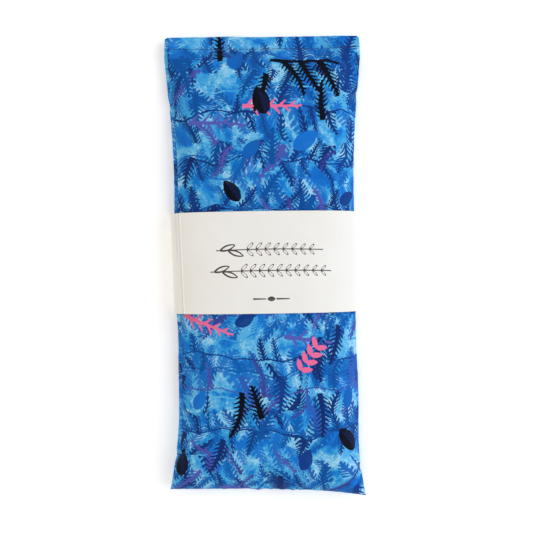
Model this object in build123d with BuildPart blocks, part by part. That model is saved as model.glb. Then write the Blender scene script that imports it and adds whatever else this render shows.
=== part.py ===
"""Lavender eye pillow: a printed cotton bag, sewn shut, that holds a plain liner of flax seed and
lavender buds, with a loose paper band wrapped round its waist.

Frame, in millimetres: X across the pillow, +Y along it towards the topstitched end, +Z up from
the surface that it lies on. The origin is on that surface, under the middle of the pillow.
"""

import os
from math import sqrt

from build123d import *

# Finished size of the printed bag
LENGTH = 233.0  # bottom seam to folded top edge
FLAT_WIDTH = 100.0  # where the bag lies flat, at its two ends
WAIST_WIDTH = 91.4  # where the filling is deepest
CROWN_HEIGHT = 21.0  # highest point of the filled bag
SEAM_HEIGHT = 6.5  # level of the side and bottom seams
SAG = 1.0  # the underside would hang this far below the surface, and is pressed flat there
SIDE_POWER = 1.4  # how fast the sides draw in as the bag fills

# Distance from each end over which the filling swells to its full depth
TOP_RAMP = 70.0  # long, because the seed has run away from the topstitched end
BOTTOM_RAMP = 40.0
LINER_RAMP = 12.0
RAMP_STEPS = 8

# Bezier handles of a cross-section, as shares of its size: where it lies flat, where it is plump
SIDE_HANDLE = (1.0, 0.6)
CROWN_HANDLE = (0.94, 0.62)
BELLY_HANDLE = (0.94, 0.8)

# Cloth and thread of the printed bag
CLOTH = 0.3
TURNING = 2 * CLOTH  # the wall is double where the seam allowance is folded in
SEAM_EDGE = 0.6  # half the thickness of the bag where it lies flat
HEM_DEPTH = 7.5  # flat folded hem beyond the filled part
THREAD = 0.2
THREAD_PLAY = 0.02  # round a thread in its groove
THREAD_INSET = 0.05  # from the turned seam allowance to the thread

# Liner, from the inside of the printed bag to the seed
LINER_CLOTH = 0.25
LINER_TURNING = 2 * LINER_CLOTH
LINER_EDGE = 0.5  # half its thickness at its own seam
LINER_SLACK = 0.7  # below the outside of the printed bag's crown
LINER_SETBACK = 1.0  # inside the printed bag's waist
LINER_BOTTOM_GAP = 3.0  # from the bottom of the printed bag
LINER_TOP_GAP = 9.0  # from its hem
LAYER_GAP = 0.1

# Topstitching that closes the bag
STITCH_SETBACK = 6.8  # from the folded top edge
STITCH_PITCH = 2.8
NEEDLE_HOLES = 36
NEEDLE_HOLE = 0.4
STITCH_THREAD = 0.28

# Paper band
BAND_WIDTH = 50.5
BAND_HALF_SPAN = 47.45  # half the outside width of the flattened loop
BAND_PAPER = 0.3
BAND_CLEARANCE = 0.4  # over the crown
BAND_FLAT = 30.0  # half width of the part that lies on the surface
BAND_LAP = 6.0  # half length of the glued lap on the underside
CREASE = (-41.3, 15.7)  # the left fold line, which has rolled on to the front
LAP_RAMP = 1.5  # the lap steps up over this length
LAP_CUT = 3.0  # length of the loop that the stepped end of the strip replaces
GLUE = 0.05
GLUE_INSET = 1.0
LAP_PLAY = 0.1  # over the lap, where it presses the underside up
CHANNEL_PLAY = 1.0  # beyond each edge of the band

# Bezier handles of the flattened paper loop
BELLY_REACH = 41.0  # where the underside starts to curve up
BELLY_SIDE = (0.6, 2.2)  # in from the side, and height
SHOULDER_SIDE = (1.2, 16.8)
SHOULDER_REACH = 30.0
CROWN_REACH = 24.0
CREASE_ABOVE = (-35.6, 19.9)
CREASE_BELOW = (3.9, 2.6)  # out and down from the crease
CREASE_SIDE = 10.8
CREASE_DRAW = (0.6, 0.8)  # how far the crease moves in per millimetre of inset

# Lavender buds in the seed
BUD_LENGTH = 4.6
BUD_RADIUS = 0.95
BUD_TIP = 0.6
BUD_ROWS = 9
BUD_COLUMNS = 4
BUD_SPACING = (18.0, 21.0)
BUD_STAGGER = 4.5  # across, one way in odd rows and the other in even ones
BUD_SHIFT = -12.0  # towards the bottom, where the seed is deepest
BUD_RISE = 2.4  # above or below the seam level by turns
BUD_CLEARANCE = 0.1
BUD_TURNS = (37, 53)  # degrees from row to row and from column to column

BOTTOM_Y = -LENGTH / 2
TOP_Y = LENGTH / 2
HEM_Y = TOP_Y - HEM_DEPTH
STITCH_Y = TOP_Y - STITCH_SETBACK
HOLE_SPAN = (NEEDLE_HOLES - 1) * STITCH_PITCH
LAP_HEIGHT = 2 * BAND_PAPER + GLUE
BAND_CROWN = CROWN_HEIGHT + BAND_CLEARANCE + BAND_PAPER
CHANNEL_HEIGHT = LAP_HEIGHT + LAP_PLAY
CHANNEL_LENGTH = BAND_WIDTH + 2 * CHANNEL_PLAY
LINER_FLOOR = CHANNEL_HEIGHT + CLOTH + LAYER_GAP
LINER_BOTTOM_Y = BOTTOM_Y + LINER_BOTTOM_GAP
LINER_TOP_Y = HEM_Y - LINER_TOP_GAP
LINER_HALF_WIDTH = WAIST_WIDTH / 2 - LINER_SETBACK


def plumpness(y):
    """Share of its full depth that the filling reaches at y: 0 at a flat end, 1 in the middle."""
    from_top = min(1.0, max(0.0, (HEM_Y - y) / TOP_RAMP))
    from_bottom = min(1.0, max(0.0, (y - BOTTOM_Y) / BOTTOM_RAMP))
    return (1 - (1 - from_top) ** 2) * sqrt(1 - (1 - from_bottom) ** 2)


RAMP_SHARES = [(step / RAMP_STEPS) ** 2 for step in range(RAMP_STEPS + 1)]
STATIONS = [BOTTOM_Y + BOTTOM_RAMP * share for share in RAMP_SHARES]
STATIONS += [HEM_Y - TOP_RAMP * share for share in reversed(RAMP_SHARES)]


def profile(y):
    """Plumpness and half width of the bag at y, on straight lines between the stations."""
    low = max(station for station in STATIONS[:-1] if station <= y + 1e-6)
    high = STATIONS[STATIONS.index(low) + 1]
    along = (y - low) / (high - low)
    plump = plumpness(low) * (1 - along) + plumpness(high) * along
    widths = [
        FLAT_WIDTH - (FLAT_WIDTH - WAIST_WIDTH) * plumpness(station) ** SIDE_POWER
        for station in (low, high)
    ]
    return plump, (widths[0] * (1 - along) + widths[1] * along) / 2


def places_along(low, high, liner):
    """Places along Y for the cross-sections of a form from low to high."""
    inside = [y for y in STATIONS if low < y < high]
    if liner:
        ends = [LINER_RAMP * share for share in RAMP_SHARES[1::2]]
        inside += [low + end for end in ends] + [high - end for end in ends]
    return sorted({round(place, 3) for place in [low, high, *inside]})


def section(y, half, up, down, plump):
    """One cross-section at y, about the seam level: square where flat, round where plump."""
    rise, run_up, run_down = (
        flat + (full - flat) * plump for flat, full in (SIDE_HANDLE, CROWN_HANDLE, BELLY_HANDLE)
    )
    plane = Plane(origin=(0, y, SEAM_HEIGHT), x_dir=(1, 0, 0), z_dir=(0, -1, 0))
    with BuildSketch(plane) as outline:
        with BuildLine():
            Bezier((half, 0), (half, rise * up), (run_up * half, up), (0, up))
            Bezier((0, up), (-run_up * half, up), (-half, rise * up), (-half, 0))
            Bezier((-half, 0), (-half, -rise * down), (-run_down * half, -down), (0, -down))
            Bezier((0, -down), (run_down * half, -down), (half, -rise * down), (half, 0))
        make_face()
    return outline.sketch


def filled_form(low, high, side=0.0, depth=0.0, edge=SEAM_EDGE, floor=0.0, liner=False):
    """The bag's form from low to high, drawn in by side and depth, and pressed flat at floor.

    A liner keeps a straight side, and closes to its own thin edge at both ends.
    """
    sections = []
    for y in places_along(low, high, liner):
        plump, half = profile(y)
        if liner:
            near = min(1.0, (y - low) / LINER_RAMP, (high - y) / LINER_RAMP)
            plump *= sqrt(1 - (1 - max(0.0, near)) ** 2)
            half = LINER_HALF_WIDTH
        up = edge + (CROWN_HEIGHT - SEAM_HEIGHT - depth - edge) * plump
        down = edge + (SEAM_HEIGHT + SAG - depth - edge) * plump
        sections.append(section(y, half - side, up, down, plump))
    with BuildPart() as form:
        loft(sections, ruled=True)
        split(bisect_by=Plane.XY.offset(floor), keep=Keep.TOP)
    return form.part


def rim_points(low, high, inset, liner):
    """Corners of the outline at seam level, drawn in by inset at the sides."""
    right = [
        (LINER_HALF_WIDTH if liner else profile(y)[1], y) for y in places_along(low, high, liner)
    ]
    return [(x - inset, y) for x, y in right] + [(inset - x, y) for x, y in reversed(right)]


def seam_run(near, far, base, rise, liner=False):
    """Strip at seam level, near to far inside the outline: open at the hem, or a closed loop."""
    low, high = (LINER_BOTTOM_Y, LINER_TOP_Y) if liner else (BOTTOM_Y, HEM_Y)
    with BuildPart() as run:
        with BuildSketch(Plane.XY.offset(base)):
            with BuildLine():
                Polyline(*rim_points(low + near, high - near, near, liner), close=True)
            make_face()
            with BuildLine():
                Polyline(*rim_points(low + far, high - far * liner, far, liner), close=True)
            make_face(mode=Mode.SUBTRACT)
        extrude(amount=rise)
    return run.part


def seam_groove(near, far, liner=False):
    """Space that a pair of seam threads takes up, with a little play."""
    rise = THREAD + THREAD_PLAY
    return seam_run(near - THREAD_PLAY, far + THREAD_PLAY, SEAM_HEIGHT - rise, 2 * rise, liner)


def topstitch(side):
    """Comb of thread across the hem: a run on one face (side 1 or -1), with legs to mid-depth."""
    with BuildPart() as comb:
        with Locations((0, STITCH_Y, SEAM_HEIGHT + side * (SEAM_EDGE + STITCH_THREAD / 2))):
            Box(HOLE_SPAN + STITCH_THREAD, STITCH_THREAD, STITCH_THREAD)
        with Locations((0, STITCH_Y, SEAM_HEIGHT + side * SEAM_EDGE / 2)):
            with GridLocations(STITCH_PITCH, 1, NEEDLE_HOLES, 1):
                Box(STITCH_THREAD, STITCH_THREAD, SEAM_EDGE)
    return comb.part


def band_loop(inset):
    """Outline of the flattened paper loop, drawn in by inset, with a fold at each side."""
    half, base, crown = BAND_HALF_SPAN - inset, inset, BAND_CROWN - inset
    right, left = (half, SEAM_HEIGHT), (-half, SEAM_HEIGHT)
    shoulder = (half - SHOULDER_SIDE[0], SHOULDER_SIDE[1] - inset)
    crease = (CREASE[0] + CREASE_DRAW[0] * inset, CREASE[1] - CREASE_DRAW[1] * inset)
    above = (CREASE_ABOVE[0], CREASE_ABOVE[1] - inset)
    below = (crease[0] - CREASE_BELOW[0], crease[1] - CREASE_BELOW[1])
    belly = (half - BELLY_SIDE[0], BELLY_SIDE[1])
    with BuildSketch(Plane.XZ.offset(-BAND_WIDTH / 2)) as loop:
        with BuildLine():
            Line((-BAND_FLAT, base), (BAND_FLAT, base))
            Bezier((BAND_FLAT, base), (BELLY_REACH, base), belly, right)
            Bezier(right, shoulder, (SHOULDER_REACH, crown), (0, crown))
            Bezier((0, crown), (-CROWN_REACH, crown), above, crease)
            Bezier(crease, below, (-half, CREASE_SIDE), left)
            Bezier(left, (-half, BELLY_SIDE[1]), (-BELLY_REACH, base), (-BAND_FLAT, base))
        make_face()
    return loop.sketch


def band_wrap():
    """Section of the whole paper strip: a loop cut open underneath, and its lap."""
    step, low, high = BAND_LAP + LAP_RAMP, BAND_PAPER + GLUE, LAP_HEIGHT
    foot, end = step + LAP_RAMP, step + (LAP_RAMP + LAP_CUT) / 2
    outer, inner = band_loop(0), band_loop(BAND_PAPER)
    with BuildSketch(Plane.XZ.offset(-BAND_WIDTH / 2)) as wrap:
        add(outer)
        add(inner, mode=Mode.SUBTRACT)
        with Locations((step, 0)):
            Rectangle(LAP_CUT, 4 * BAND_PAPER, mode=Mode.SUBTRACT)
        with BuildLine():
            Polyline(
                (end, 0),
                (end, BAND_PAPER),
                (foot, BAND_PAPER),
                (step, high),
                (-BAND_LAP, high),
                (-BAND_LAP, low),
                (step, low),
                (foot, 0),
                close=True,
            )
        make_face()
    return wrap.sketch


def bud_places():
    """Where the buds lie in the seed, each one turned its own way."""
    columns = [(number - (BUD_COLUMNS - 1) / 2) * BUD_SPACING[0] for number in range(BUD_COLUMNS)]
    rows = [(number - (BUD_ROWS - 1) / 2) * BUD_SPACING[1] for number in range(BUD_ROWS)]
    places = []
    for row, y in enumerate(rows):
        for column, x in enumerate(columns):
            shift = BUD_STAGGER if row % 2 else -BUD_STAGGER
            level = SEAM_HEIGHT + (BUD_RISE if (row + column) % 2 else -BUD_RISE)
            turn = (row * BUD_TURNS[0] + column * BUD_TURNS[1]) % 180
            places.append(Location((x + shift, y + BUD_SHIFT, level), (0, 0, turn)))
    return places


def bud_shapes(growth):
    """All the lavender buds, each one grown by the given amount."""
    with BuildPart() as one:
        Cylinder(BUD_RADIUS + growth, BUD_LENGTH + 2 * growth, rotation=(0, 90, 0))
        fillet(one.edges().filter_by(GeomType.CIRCLE), BUD_TIP)
    with BuildPart() as group:
        with Locations(*bud_places()):
            add(one.part)
    return group.part


# The nested forms, from the printed bag inwards
cover_outer = filled_form(BOTTOM_Y, HEM_Y)
cover_inner = filled_form(
    BOTTOM_Y + TURNING, HEM_Y, side=TURNING, depth=CLOTH, edge=SEAM_EDGE - CLOTH, floor=CLOTH
)
liner_outer = filled_form(
    LINER_BOTTOM_Y,
    LINER_TOP_Y,
    depth=LINER_SLACK,
    edge=LINER_EDGE,
    floor=LINER_FLOOR,
    liner=True,
)
liner_inner = filled_form(
    LINER_BOTTOM_Y + LINER_TURNING,
    LINER_TOP_Y - LINER_TURNING,
    side=LINER_TURNING,
    depth=LINER_SLACK + LINER_CLOTH,
    edge=LINER_EDGE - THREAD,
    floor=LINER_FLOOR + LINER_CLOTH,
    liner=True,
)
seed_inset = 2 * LINER_TURNING
fill_form = filled_form(
    LINER_BOTTOM_Y + seed_inset,
    LINER_TOP_Y - seed_inset,
    side=seed_inset,
    depth=LINER_SLACK + LINER_CLOTH + LAYER_GAP,
    edge=THREAD,
    floor=LINER_FLOOR + LINER_CLOTH + LAYER_GAP,
    liner=True,
)

# Seam threads, each pair in its own groove, then the topstitching, the band and the buds
near, far = TURNING + THREAD_INSET, TURNING + THREAD_INSET + THREAD
side_thread_up = seam_run(near, far, SEAM_HEIGHT, THREAD)
side_thread_down = seam_run(near, far, SEAM_HEIGHT - THREAD, THREAD)
side_groove = seam_groove(near, far)
near, far = LINER_TURNING + THREAD_INSET, LINER_TURNING + THREAD_INSET + THREAD
liner_thread_up = seam_run(near, far, SEAM_HEIGHT, THREAD, liner=True)
liner_thread_down = seam_run(near, far, SEAM_HEIGHT - THREAD, THREAD, liner=True)
liner_groove = seam_groove(near, far, liner=True)
topstitch_up = topstitch(1)
topstitch_down = topstitch(-1)
band_section = band_wrap()
buds = bud_shapes(0)
bud_pockets = bud_shapes(BUD_CLEARANCE)

os.makedirs("parts", exist_ok=True)

# Space inside the printed bag, over the waist where the paper lap presses the underside up
with BuildPart() as cavity:
    add(cover_inner)
    Box(2 * FLAT_WIDTH, CHANNEL_LENGTH + 2 * CLOTH, 2 * (CHANNEL_HEIGHT + CLOTH), mode=Mode.SUBTRACT)

# Whole printed bag, before it is parted at the seam
with BuildPart() as bag:
    add(cover_outer)
    with Locations((0, HEM_Y + HEM_DEPTH / 2, SEAM_HEIGHT)):
        Box(FLAT_WIDTH, HEM_DEPTH, 2 * SEAM_EDGE)
    Box(2 * FLAT_WIDTH, CHANNEL_LENGTH, 2 * CHANNEL_HEIGHT, mode=Mode.SUBTRACT)
    add(cavity.part, mode=Mode.SUBTRACT)
    add(side_groove, mode=Mode.SUBTRACT)
    with Locations((0, STITCH_Y, SEAM_HEIGHT)):
        with GridLocations(STITCH_PITCH, 1, NEEDLE_HOLES, 1):
            Box(NEEDLE_HOLE, NEEDLE_HOLE, 4 * SEAM_EDGE, mode=Mode.SUBTRACT)

# Printed cotton, upper layer
with BuildPart() as cover_front_panel:
    add(bag.part)
    split(bisect_by=Plane.XY.offset(SEAM_HEIGHT), keep=Keep.TOP)
cover_front_panel.part.label = "cover_front_panel"
export_step(cover_front_panel.part, "parts/cover_front_panel.step")

# Printed cotton, lower layer
with BuildPart() as cover_back_panel:
    add(bag.part)
    split(bisect_by=Plane.XY.offset(SEAM_HEIGHT), keep=Keep.BOTTOM)
cover_back_panel.part.label = "cover_back_panel"
export_step(cover_back_panel.part, "parts/cover_back_panel.step")

# Upper thread of the turned seam round the sides and the bottom
with BuildPart() as side_seam_needle_thread:
    add(side_thread_up)
side_seam_needle_thread.part.label = "side_seam_needle_thread"
export_step(side_seam_needle_thread.part, "parts/side_seam_needle_thread.step")

# Lower thread of the same seam
with BuildPart() as side_seam_bobbin_thread:
    add(side_thread_down)
side_seam_bobbin_thread.part.label = "side_seam_bobbin_thread"
export_step(side_seam_bobbin_thread.part, "parts/side_seam_bobbin_thread.step")

# Upper thread of the topstitching that closes the bag
with BuildPart() as closing_seam_needle_thread:
    add(topstitch_up)
closing_seam_needle_thread.part.label = "closing_seam_needle_thread"
export_step(closing_seam_needle_thread.part, "parts/closing_seam_needle_thread.step")

# Lower thread of the topstitching
with BuildPart() as closing_seam_bobbin_thread:
    add(topstitch_down)
closing_seam_bobbin_thread.part.label = "closing_seam_bobbin_thread"
export_step(closing_seam_bobbin_thread.part, "parts/closing_seam_bobbin_thread.step")

# Whole liner bag, before it is parted at its seam
with BuildPart() as liner:
    add(liner_outer)
    add(liner_inner, mode=Mode.SUBTRACT)
    add(liner_groove, mode=Mode.SUBTRACT)

# Plain cotton liner, upper layer
with BuildPart() as liner_front_panel:
    add(liner.part)
    split(bisect_by=Plane.XY.offset(SEAM_HEIGHT), keep=Keep.TOP)
liner_front_panel.part.label = "liner_front_panel"
export_step(liner_front_panel.part, "parts/liner_front_panel.step")

# Plain cotton liner, lower layer
with BuildPart() as liner_back_panel:
    add(liner.part)
    split(bisect_by=Plane.XY.offset(SEAM_HEIGHT), keep=Keep.BOTTOM)
liner_back_panel.part.label = "liner_back_panel"
export_step(liner_back_panel.part, "parts/liner_back_panel.step")

# Upper thread of the liner's seam, which runs all the way round
with BuildPart() as liner_seam_needle_thread:
    add(liner_thread_up)
liner_seam_needle_thread.part.label = "liner_seam_needle_thread"
export_step(liner_seam_needle_thread.part, "parts/liner_seam_needle_thread.step")

# Lower thread of the liner's seam
with BuildPart() as liner_seam_bobbin_thread:
    add(liner_thread_down)
liner_seam_bobbin_thread.part.label = "liner_seam_bobbin_thread"
export_step(liner_seam_bobbin_thread.part, "parts/liner_seam_bobbin_thread.step")

# Loose flax seed, as one mass with a pocket round each bud
with BuildPart() as flaxseed_fill:
    add(fill_form)
    add(bud_pockets, mode=Mode.SUBTRACT)
flaxseed_fill.part.label = "flaxseed_fill"
export_step(flaxseed_fill.part, "parts/flaxseed_fill.step")

# Dried lavender buds
with BuildPart() as lavender_buds:
    add(buds)
lavender_buds.part.label = "lavender_buds"
export_step(lavender_buds.part, "parts/lavender_buds.step")

# Paper band: one strip wrapped round the waist, lapped under the pillow
with BuildPart() as paper_band:
    extrude(band_section, amount=BAND_WIDTH)
paper_band.part.label = "paper_band"
export_step(paper_band.part, "parts/paper_band.step")

# Line of glue in the lap
with BuildPart() as band_glue_strip:
    with Locations((0, 0, BAND_PAPER + GLUE / 2)):
        Box(2 * (BAND_LAP - GLUE_INSET), BAND_WIDTH - 2 * GLUE_INSET, GLUE)
band_glue_strip.part.label = "band_glue_strip"
export_step(band_glue_strip.part, "parts/band_glue_strip.step")
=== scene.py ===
"""Looks of the lavender eye pillow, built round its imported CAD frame.

Metres throughout, in the frame of the part: X across the pillow, +Y towards the topstitched end,
+Z up from the surface that it lies on. The printed bag is simulated as cloth from its flat cut.
Its print is drawn by shader nodes in the flat cut's own coordinates, in millimetres.
"""

import math
import random

import bpy
import numpy as np
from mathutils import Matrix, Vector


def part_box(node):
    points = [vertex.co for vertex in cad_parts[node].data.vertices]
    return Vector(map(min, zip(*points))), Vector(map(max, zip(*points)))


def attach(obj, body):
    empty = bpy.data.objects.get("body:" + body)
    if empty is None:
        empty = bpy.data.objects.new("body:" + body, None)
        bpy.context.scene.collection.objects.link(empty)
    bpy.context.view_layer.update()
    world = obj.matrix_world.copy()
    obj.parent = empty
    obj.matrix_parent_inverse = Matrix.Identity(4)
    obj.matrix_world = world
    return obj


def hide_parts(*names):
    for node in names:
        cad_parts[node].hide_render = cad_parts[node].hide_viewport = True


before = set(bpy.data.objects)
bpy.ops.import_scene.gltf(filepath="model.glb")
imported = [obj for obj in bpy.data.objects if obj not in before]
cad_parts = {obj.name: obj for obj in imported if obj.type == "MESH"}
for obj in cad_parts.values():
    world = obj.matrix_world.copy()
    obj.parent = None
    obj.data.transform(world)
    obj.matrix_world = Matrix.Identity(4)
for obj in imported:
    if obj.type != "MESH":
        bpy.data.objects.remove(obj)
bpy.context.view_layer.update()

MM = 0.001

# ------------------------------------------------------------------ sizes: the frame's, then chosen

front_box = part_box("cover_front_panel")
back_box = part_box("cover_back_panel")
band_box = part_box("paper_band")
stitch_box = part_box("closing_seam_needle_thread")
liner_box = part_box("liner_front_panel")

FLAT_WIDTH = front_box[1].x - front_box[0].x
LENGTH = front_box[1].y - front_box[0].y
CROWN = front_box[1].z
SEAM_LEVEL = back_box[1].z
HEM_Y = front_box[1].y
STITCH_Y = (stitch_box[0].y + stitch_box[1].y) / 2
SETBACK = HEM_Y - STITCH_Y
BAND_HALF = (band_box[1].y - band_box[0].y) / 2
BAND_SPAN = band_box[1].x
BAND_CROWN = band_box[1].z

WAIST_HALF = 45.7 * MM  # half width where the filling is deepest
TOP_RAMP = 70 * MM  # the filling swells to its full depth over these lengths
BOTTOM_RAMP = 40 * MM
CUT_LENGTH = LENGTH * 1.027  # the flat cut, because filling takes up length
HEM_DEPTH = 7.5 * MM  # of the flat folded hem, beyond the filling
HEM_THICK = 0.55 * MM  # half the thickness of the folded hem
SEAM_ROLL = 2.4 * MM  # the side seam has rolled this far on to the front at the left
STITCH_PITCH = 2.8 * MM
STITCHES = 35
CORNER_PLAY = 0.9 * MM  # between the bag's rings and the middle of the paper
LEAN = 1.0 * MM  # the lower half lies this far to the right
LEFT_DRAW = 0.8 * MM  # its left side is drawn in this far, just below the band
BOTTOM, BOTTOM_SKEW, BOTTOM_DROOP = 116.1, 1.1, 2.4  # millimetres, of the bottom seam
SHOULDER = 1.3 * MM  # how much fuller the seed makes the bag towards its sides
INNER_LEVEL = 6.2 * MM  # of the seams of what is inside the bag
PAPER = 0.3 * MM  # thickness
LAP_LIFT = 0.78 * MM  # the lap of the band lifts the bag by this much

SIM_SCALE = 10.0  # Blender's cloth is steadier on a model ten times life size
SIM_STEP = 2.5 * MM
SIM_FRAMES = 50
FINE_STEP = 0.8 * MM
START_LEVEL, START_GAP = 12, 1.5  # millimetres: the flat cut's height, and half the gap in it


# ------------------------------------------------------------------ small tools


def smooth(value, low, high):
    share = np.clip((value - low) / (high - low), 0, 1)
    return share * share * (3 - 2 * share)


def ripple(place, seed, length):
    """Smooth wavy noise from -1 to 1, of about the given wavelength."""
    total = 0
    for number, (rate, size) in enumerate(((1.0, 0.5), (1.71, 0.3), (2.63, 0.2))):
        total = total + size * np.sin(2 * math.pi * rate * place / length + seed * (1.3 + number))
    return total


def spaced(low, high, step):
    """Evenly spaced numbers from low to high, about a step apart."""
    return np.linspace(low, high, int(round(abs(high - low) / step)) + 1)


def curve_rows(grid, places):
    """Catmull-Rom rows of a grid of points, at fractional row numbers."""
    padded = np.concatenate([[2 * grid[0] - grid[1]], grid, [2 * grid[-1] - grid[-2]]])
    low = np.clip(np.floor(places).astype(int), 0, len(grid) - 2)
    t = (places - low).reshape(-1, *([1] * (grid.ndim - 1)))
    a, b, c, d = (padded[low + shift] for shift in range(4))
    return 0.5 * (2 * b + (c - a) * t + (2 * a - 5 * b + 4 * c - d) * t**2 + (3 * b - a - 3 * c + d) * t**3)


def curve_ring(grid, places):
    """The same along the columns of a grid that closes on itself."""
    turned = np.swapaxes(grid, 0, 1)
    count = len(turned)
    ring = np.concatenate([turned, turned[:3]])
    return np.swapaxes(curve_rows(ring, np.mod(places, count)), 0, 1)


def normals(grid):
    along = np.gradient(grid, axis=1)
    up = np.gradient(grid, axis=0)
    across = np.cross(along, up)
    return across / np.maximum(np.linalg.norm(across, axis=2, keepdims=True), 1e-12)


def add_object(name, data):
    made = bpy.data.objects.new(name, data)
    bpy.context.scene.collection.objects.link(made)
    return made


def piece(name, points, faces, material, places=None):
    """A mesh object; places are its flat coordinates in millimetres, one pair for each point."""
    mesh = bpy.data.meshes.new(name)
    mesh.from_pydata(np.asarray(points).reshape(-1, 3).tolist(), [], faces)
    if places is not None:
        layer = mesh.uv_layers.new(name="flat")
        corners = np.empty(len(mesh.loops), int)
        mesh.loops.foreach_get("vertex_index", corners)
        layer.data.foreach_set("uv", np.asarray(places, float).reshape(-1, 2)[corners].ravel())
    mesh.polygons.foreach_set("use_smooth", [True] * len(mesh.polygons))
    mesh.materials.append(material)
    mesh.update()
    return add_object(name, mesh)


def grid_faces(rows, columns, start=0, closed=False, flip=False):
    faces = []
    for row in range(rows - 1):
        for column in range(columns if closed else columns - 1):
            after = (column + 1) % columns
            low, high = start + row * columns, start + (row + 1) * columns
            corners = [low + column, low + after, high + after, high + column]
            faces.append(corners[::-1] if flip else corners)
    return faces


def tube(path, radius, sides=6):
    """Points and faces of a round tube along a path."""
    path = np.asarray(path)
    tangent = np.gradient(path, axis=0)
    tangent /= np.linalg.norm(tangent, axis=1, keepdims=True)
    side = np.cross(tangent, (0.0, 0.0, 1.0))
    side /= np.linalg.norm(side, axis=1, keepdims=True)
    up = np.cross(side, tangent)
    turn = np.arange(sides) * 2 * math.pi / sides
    ring = side[:, None] * np.cos(turn)[None, :, None] + up[:, None] * np.sin(turn)[None, :, None]
    points = path[:, None] + np.asarray(radius).reshape(-1, 1, 1) * ring
    faces = grid_faces(len(path), sides, closed=True)
    last = (len(path) - 1) * sides
    return points.reshape(-1, 3), [*faces, list(range(sides))[::-1], list(range(last, last + sides))]


# ------------------------------------------------------------------ cloth of the printed bag


def simulate_bag():
    """Fills a flat bag. Returns its rings of points from the bottom to the topstitching, and where
    each row lay along the flat cut. A ring runs along the front from left to right, and back along
    the underside."""
    scene = bpy.context.scene
    cut_stitch = CUT_LENGTH / 2 - SETBACK
    u = spaced(-FLAT_WIDTH / 2, FLAT_WIDTH / 2, SIM_STEP)
    body = spaced(-CUT_LENGTH / 2, cut_stitch, SIM_STEP)
    hem = np.linspace(cut_stitch, CUT_LENGTH / 2, 4)[1:]
    v = np.concatenate([body, hem])
    stitch, last = len(body) - 1, len(u) - 1
    front, back = np.zeros((2, len(v), len(u)), int)
    points, faces = [], []
    for row, along in enumerate(v):
        for column, across in enumerate(u):
            joined = column in (0, last) or row == 0 or row >= stitch
            front[row, column] = back[row, column] = len(points)
            points.append((across, along, (START_LEVEL + (0 if joined else START_GAP)) * MM))
            if not joined:
                back[row, column] = len(points)
                points.append((across, along, (START_LEVEL - START_GAP) * MM))
    for row in range(len(v) - 1):
        for column in range(last):
            corners = ((row, column), (row, column + 1), (row + 1, column + 1), (row + 1, column))
            faces.append([int(front[corner]) for corner in corners])
            if row < stitch:
                faces.append([int(back[corner]) for corner in reversed(corners)])
    mesh = bpy.data.meshes.new("flat_bag")
    mesh.from_pydata((SIM_SCALE * np.array(points)).tolist(), [], faces)
    bag = add_object("flat_bag", mesh)
    inside = set(front[: stitch + 1].ravel()) | set(back[: stitch + 1].ravel())
    bag.vertex_groups.new(name="filled").add([int(index) for index in inside], 1.0, "REPLACE")

    mesh = bpy.data.meshes.new("table")
    mesh.from_pydata([(-5, -5, 0), (5, -5, 0), (5, 5, 0), (-5, 5, 0)], [], [(0, 1, 2, 3)])
    table = add_object("table", mesh)
    table.modifiers.new("collision", "COLLISION")
    table.collision.thickness_outer = 0.005
    table.collision.cloth_friction = 20

    cloth = bag.modifiers.new("cloth", "CLOTH")
    settings = cloth.settings
    settings.quality = 5
    settings.mass = 0.15
    settings.tension_stiffness = settings.compression_stiffness = 60
    settings.shear_stiffness = 20
    settings.bending_stiffness = 1.0
    settings.tension_damping = settings.compression_damping = settings.shear_damping = 10
    settings.bending_damping = 1.0
    settings.air_damping = 2.0
    settings.use_pressure = True
    settings.uniform_pressure_force = 4.1
    settings.use_pressure_volume = True
    settings.target_volume = 0.25
    settings.fluid_density = 0.8
    settings.vertex_group_pressure = "filled"
    cloth.collision_settings.distance_min = 0.005
    cloth.point_cache.frame_start, cloth.point_cache.frame_end = 1, SIM_FRAMES
    for step in range(1, SIM_FRAMES + 1):
        scene.frame_set(step)
    shape = bag.evaluated_get(bpy.context.evaluated_depsgraph_get()).data
    filled = np.empty(len(shape.vertices) * 3)
    shape.vertices.foreach_get("co", filled)
    filled = filled.reshape(-1, 3) / SIM_SCALE
    for spent in (bag, table):
        mesh = spent.data
        bpy.data.objects.remove(spent)
        bpy.data.meshes.remove(mesh)
    scene.frame_set(1)
    upper, lower = filled[front[: stitch + 1]], filled[back[: stitch + 1]]
    rings = np.concatenate([upper, lower[:, -2:0:-1]], axis=1)
    rings[:, :, 2] -= rings[:, :, 2].min()
    return rings, body


def plumpness(y):
    """Share of its full depth that the filling reaches at y, as in the CAD."""
    from_top = np.clip((HEM_Y - HEM_DEPTH - y) / TOP_RAMP, 0, 1)
    from_bottom = np.clip((y + LENGTH / 2) / BOTTOM_RAMP, 0, 1)
    return (1 - (1 - from_top) ** 2) * np.sqrt(1 - (1 - from_bottom) ** 2)


def bezier(*handles):
    """Points along a Bezier curve, without its last one."""
    handles = np.array(handles, float)
    share = np.linspace(0, 1, 41)[:-1, None]
    degree = len(handles) - 1
    return sum(
        math.comb(degree, k) * (1 - share) ** (degree - k) * share**k * handles[k] for k in range(degree + 1)
    )


def lower_corner(half):
    """The band's curve in millimetres, from where it leaves the surface up to its widest place."""
    base = PAPER / 2 / MM
    return bezier((30, base), (41, base), (half - 0.6, 2.2), (half, SEAM_LEVEL / MM))


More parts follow.
